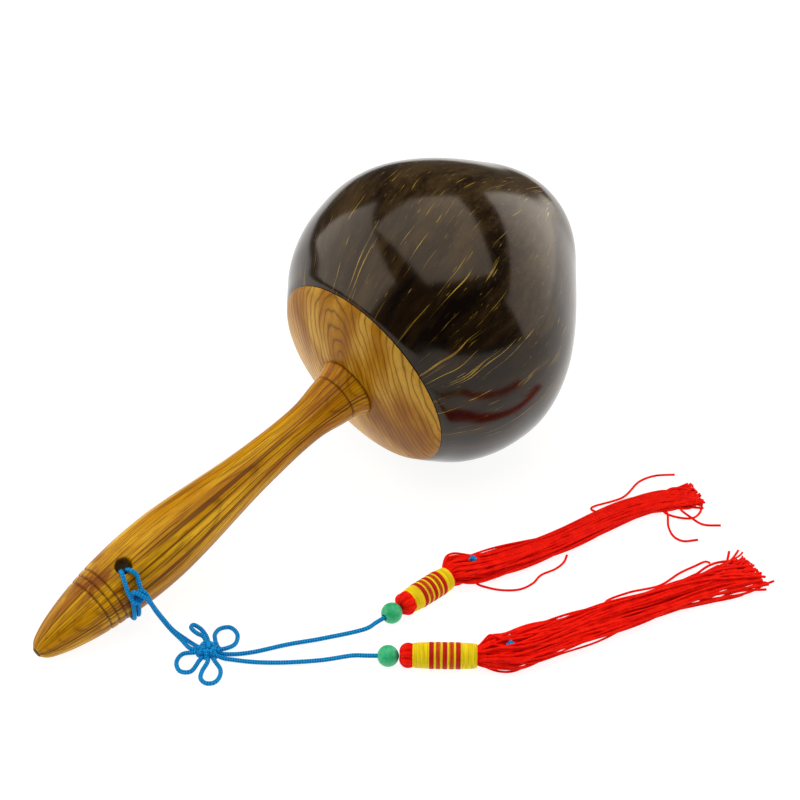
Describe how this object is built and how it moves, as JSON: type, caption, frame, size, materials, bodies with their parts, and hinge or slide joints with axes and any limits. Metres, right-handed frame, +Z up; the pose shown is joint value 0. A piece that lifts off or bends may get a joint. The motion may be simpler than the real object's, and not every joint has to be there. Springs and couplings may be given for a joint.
{
  "type": "maraca",
  "caption": "Coconut-shell maraca with a turned wooden end cap and handle, and a knotted wrist cord that ends in beads and bound thread tassels, lying on a table.",
  "frame": {"origin": "on the table, under the middle of the maraca's own length and width, without its cord and tassels", "axes": "+X from the handle's butt to the head, level with the table; +Z up; -Y the side the wrist cord and tassels lie on"},
  "size_m": [0.2188, 0.1746, 0.0992],
  "materials": {
    "coconut": "polished and lacquered, nearly black brown with gold fibres",
    "cap_wood": "satin lacquer over golden tan wood",
    "handle_wood": "satin lacquer over orange brown wood",
    "blue_cord": "round braided cord",
    "green_bead": "satin painted",
    "red_thread": "twisted glossy thread",
    "yellow_thread": "tightly wound glossy thread",
    "red_band": "tightly wound dark red thread",
    "pellet": "dry seed"
  },
  "bodies": {
    "maraca": {"coconut_shell": "coconut", "end_cap": "cap_wood", "handle": "handle_wood", "strap_loop": "blue_cord", "petal_back": "blue_cord", "petal_right": "blue_cord", "petal_left": "blue_cord", "petal_front": "blue_cord", "knot_centre": "blue_cord", "lower_tail": "blue_cord", "upper_tail": "blue_cord"},
    "pellet_1_body": {"pellet_1": "pellet"},
    "pellet_2_body": {"pellet_2": "pellet"},
    "pellet_3_body": {"pellet_3": "pellet"},
    "pellet_4_body": {"pellet_4": "pellet"},
    "pellet_5_body": {"pellet_5": "pellet"},
    "pellet_6_body": {"pellet_6": "pellet"},
    "pellet_7_body": {"pellet_7": "pellet"},
    "pellet_8_body": {"pellet_8": "pellet"},
    "lower_bead_body": {"lower_bead": "green_bead"},
    "lower_tassel": {"lower_strands": "red_thread", "lower_wrap": "yellow_thread", "lower_band_1": "red_band", "lower_band_2": "red_band", "lower_band_3": "red_band", "lower_band_4": "red_band", "lower_band_5": "red_band", "lower_cord_knot": "blue_cord"},
    "upper_bead_body": {"upper_bead": "green_bead"},
    "upper_tassel": {"upper_strands": "red_thread", "upper_wrap": "yellow_thread", "upper_band_1": "red_band", "upper_band_2": "red_band", "upper_band_3": "red_band", "upper_band_4": "red_band", "upper_band_5": "red_band", "upper_cord_knot": "blue_cord"}
  },
  "joints": [
    {"name": "pellet_1_roll", "type": "hinge", "parent": "maraca", "child": "pellet_1_body", "pos_m": [0.01429, 0, 0.03884], "axis": [0.9629, 0, 0.27], "continuous": true},
    {"name": "pellet_2_roll", "type": "hinge", "parent": "maraca", "child": "pellet_2_body", "pos_m": [0.01429, 0, 0.03884], "axis": [0.9629, 0, 0.27], "continuous": true},
    {"name": "pellet_3_roll", "type": "hinge", "parent": "maraca", "child": "pellet_3_body", "pos_m": [0.01429, 0, 0.03884], "axis": [0.9629, 0, 0.27], "continuous": true},
    {"name": "pellet_4_roll", "type": "hinge", "parent": "maraca", "child": "pellet_4_body", "pos_m": [0.01429, 0, 0.03884], "axis": [0.9629, 0, 0.27], "continuous": true},
    {"name": "pellet_5_roll", "type": "hinge", "parent": "maraca", "child": "pellet_5_body", "pos_m": [0.01429, 0, 0.03884], "axis": [0.9629, 0, 0.27], "continuous": true},
    {"name": "pellet_6_roll", "type": "hinge", "parent": "maraca", "child": "pellet_6_body", "pos_m": [0.01429, 0, 0.03884], "axis": [0.9629, 0, 0.27], "continuous": true},
    {"name": "pellet_7_roll", "type": "hinge", "parent": "maraca", "child": "pellet_7_body", "pos_m": [0.01429, 0, 0.03884], "axis": [0.9629, 0, 0.27], "continuous": true},
    {"name": "pellet_8_roll", "type": "hinge", "parent": "maraca", "child": "pellet_8_body", "pos_m": [0.01429, 0, 0.03884], "axis": [0.9629, 0, 0.27], "continuous": true},
    {"name": "lower_bead_slide", "type": "slide", "parent": "maraca", "child": "lower_bead_body", "axis": [-0.7071, 0.7071, 0], "range_m": [0, 0.004]},
    {"name": "lower_tassel_swing", "type": "hinge", "parent": "maraca", "child": "lower_tassel", "pos_m": [-0.0357, -0.0711, 0.004], "axis": [0, 0, 1], "range_deg": [-25, 5]},
    {"name": "upper_bead_slide", "type": "slide", "parent": "maraca", "child": "upper_bead_body", "axis": [-0.9998, 0.0175, 0], "range_m": [0, 0.004]},
    {"name": "upper_tassel_swing", "type": "hinge", "parent": "maraca", "child": "upper_tassel", "pos_m": [-0.022, -0.0583, 0.004], "axis": [0, 0, 1], "range_deg": [-5, 25]}
  ]
}
